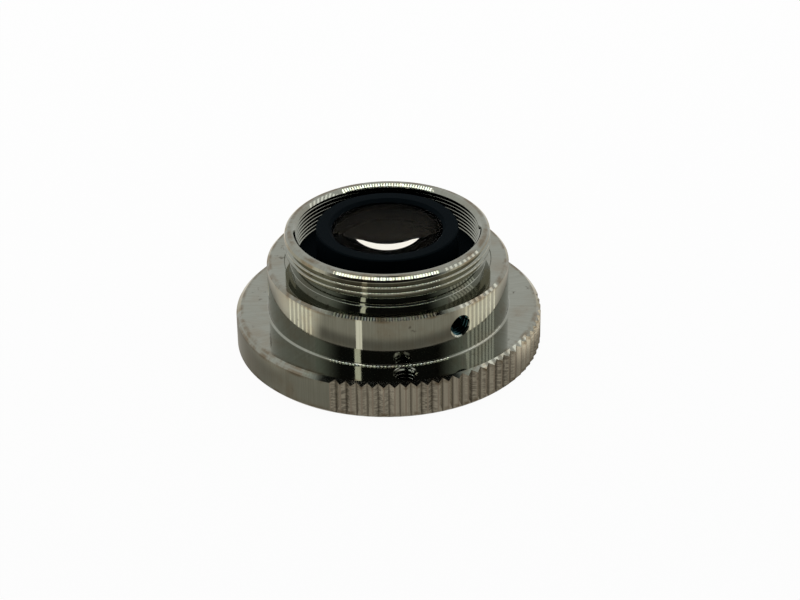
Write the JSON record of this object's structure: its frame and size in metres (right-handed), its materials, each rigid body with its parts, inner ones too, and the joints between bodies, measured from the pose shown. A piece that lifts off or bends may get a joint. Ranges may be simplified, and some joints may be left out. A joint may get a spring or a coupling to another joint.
{
  "type": "teleconverter",
  "caption": "Screw-in lens extender for small cameras: plated knurled mount body with a threaded nose, a black lens cell inside and glass at both ends.",
  "frame": {"origin": "centre of the lens-side face of the knurled flange, which the part stands on", "axes": "+Z along the optical axis towards the camera, -Y to the front with the small flange hole"},
  "size_m": [0.038, 0.038, 0.0159],
  "materials": {
    "plated_brass": "worn nickel plate over turned brass",
    "black_cell": "black anodised",
    "black_ring": "matt black anodised",
    "blackened_steel": "black oxide",
    "coated_glass": "polished and coated"
  },
  "bodies": {
    "root": {"mount_body": "plated_brass", "set_screws": "blackened_steel", "lens_cell": "black_cell", "rear_element": "coated_glass", "rear_spacer": "black_ring", "doublet_flint": "coated_glass", "doublet_crown": "coated_glass", "aperture_stop": "black_ring", "front_element": "coated_glass", "front_retaining_ring": "black_ring"}
  },
  "joints": []
}
